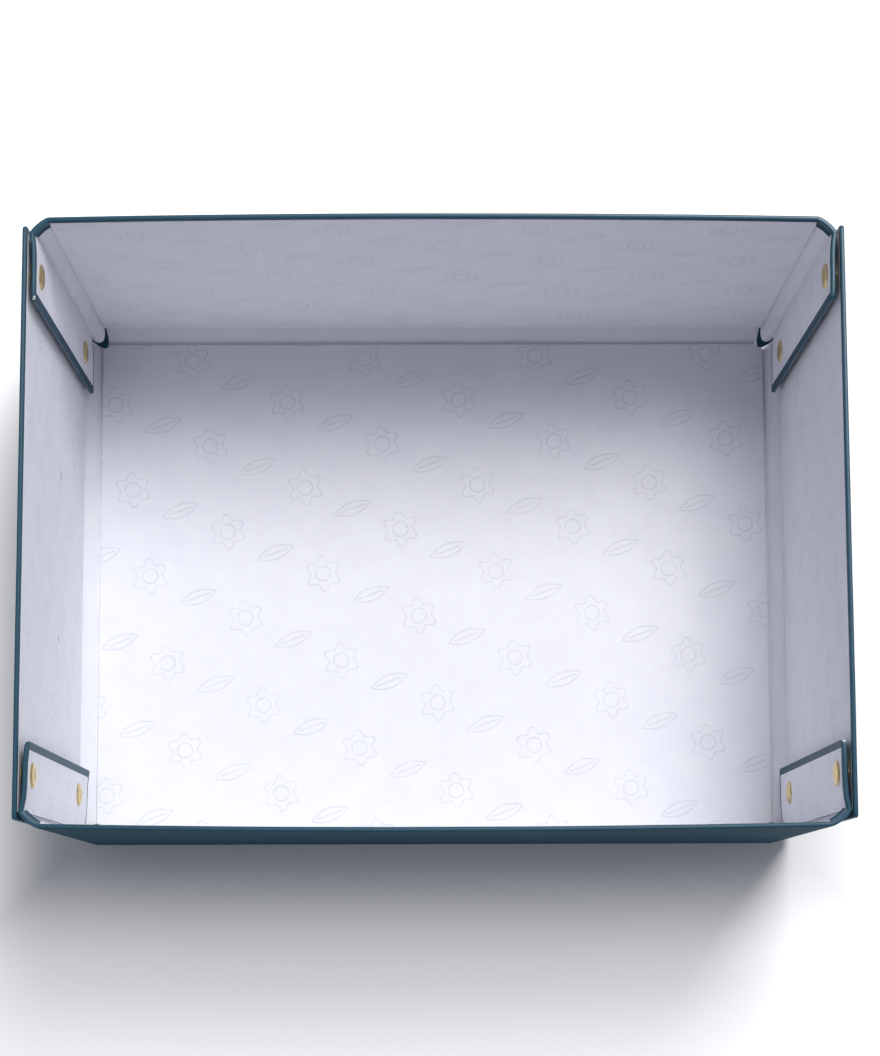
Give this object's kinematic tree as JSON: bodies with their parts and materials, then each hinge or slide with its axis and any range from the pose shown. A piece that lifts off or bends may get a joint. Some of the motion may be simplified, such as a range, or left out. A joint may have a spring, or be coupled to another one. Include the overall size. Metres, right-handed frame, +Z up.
{
  "type": "storage box",
  "caption": "Open-topped snap-together storage box of paper-covered board; its walls fold flat on paper hinges and its corner flaps hold them up with press studs.",
  "frame": {"origin": "middle of the base's underside, on the table", "axes": "+Z up, +X along the long walls towards the right end wall, +Y towards the back wall"},
  "size_m": [0.3516, 0.26, 0.175],
  "materials": {
    "greyboard": "matte",
    "cover_paper": "satin",
    "lining_paper": "matte",
    "fold_paper": "satin",
    "brass": "polished"
  },
  "bodies": {
    "base": {"base_board": "greyboard", "base_cover": "cover_paper", "base_lining": "lining_paper", "front_bottom_fold": "fold_paper", "back_bottom_fold": "fold_paper", "left_bottom_fold": "fold_paper", "right_bottom_fold": "fold_paper"},
    "front_wall": {"front_wall_board": "greyboard", "front_wall_cover": "cover_paper", "front_wall_lining": "lining_paper", "front_left_corner_fold": "fold_paper", "front_right_corner_fold": "fold_paper"},
    "back_wall": {"back_wall_board": "greyboard", "back_wall_cover": "cover_paper", "back_wall_lining": "lining_paper", "back_left_corner_fold": "fold_paper", "back_right_corner_fold": "fold_paper"},
    "left_end": {"left_end_board": "greyboard", "left_end_cover": "cover_paper", "left_end_lining": "lining_paper", "left_end_studs": "brass", "left_end_stud_posts": "brass"},
    "right_end": {"right_end_board": "greyboard", "right_end_cover": "cover_paper", "right_end_lining": "lining_paper", "right_end_studs": "brass", "right_end_stud_posts": "brass"},
    "front_left_flap": {"front_left_flap_board": "greyboard", "front_left_flap_cover": "cover_paper", "front_left_flap_lining": "lining_paper", "front_left_stud_caps": "brass", "front_left_stud_sockets": "brass", "front_left_stud_springs": "brass"},
    "front_right_flap": {"front_right_flap_board": "greyboard", "front_right_flap_cover": "cover_paper", "front_right_flap_lining": "lining_paper", "front_right_stud_caps": "brass", "front_right_stud_sockets": "brass", "front_right_stud_springs": "brass"},
    "back_left_flap": {"back_left_flap_board": "greyboard", "back_left_flap_cover": "cover_paper", "back_left_flap_lining": "lining_paper", "back_left_stud_caps": "brass", "back_left_stud_sockets": "brass", "back_left_stud_springs": "brass"},
    "back_right_flap": {"back_right_flap_board": "greyboard", "back_right_flap_cover": "cover_paper", "back_right_flap_lining": "lining_paper", "back_right_stud_caps": "brass", "back_right_stud_sockets": "brass", "back_right_stud_springs": "brass"}
  },
  "joints": [
    {"name": "front_wall_fold", "type": "hinge", "parent": "base", "child": "front_wall", "pos_m": [0, -0.12736, 0.00264], "axis": [1, 0, 0], "range_deg": [0, 90], "deforming": ["front_bottom_fold"]},
    {"name": "back_wall_fold", "type": "hinge", "parent": "base", "child": "back_wall", "pos_m": [0, 0.12736, 0.00264], "axis": [-1, 0, 0], "range_deg": [0, 90], "deforming": ["back_bottom_fold"]},
    {"name": "left_end_fold", "type": "hinge", "parent": "base", "child": "left_end", "pos_m": [-0.17222, 0, 0.00278], "axis": [0, -1, 0], "range_deg": [0, 88], "deforming": ["left_bottom_fold"]},
    {"name": "right_end_fold", "type": "hinge", "parent": "base", "child": "right_end", "pos_m": [0.17222, 0, 0.00278], "axis": [0, 1, 0], "range_deg": [0, 88], "deforming": ["right_bottom_fold"]},
    {"name": "front_left_flap_fold", "type": "hinge", "parent": "front_wall", "child": "front_left_flap", "pos_m": [-0.16595, -0.12505, 0.0875], "axis": [0, 0, -1], "range_deg": [0, 85], "deforming": ["front_left_corner_fold"]},
    {"name": "front_right_flap_fold", "type": "hinge", "parent": "front_wall", "child": "front_right_flap", "pos_m": [0.16595, -0.12505, 0.0875], "axis": [0, 0, 1], "range_deg": [0, 85], "deforming": ["front_right_corner_fold"]},
    {"name": "back_left_flap_fold", "type": "hinge", "parent": "back_wall", "child": "back_left_flap", "pos_m": [-0.16595, 0.12505, 0.0875], "axis": [0, 0, 1], "range_deg": [0, 85], "deforming": ["back_left_corner_fold"]},
    {"name": "back_right_flap_fold", "type": "hinge", "parent": "back_wall", "child": "back_right_flap", "pos_m": [0.16595, 0.12505, 0.0875], "axis": [0, 0, -1], "range_deg": [0, 85], "deforming": ["back_right_corner_fold"]}
  ]
}
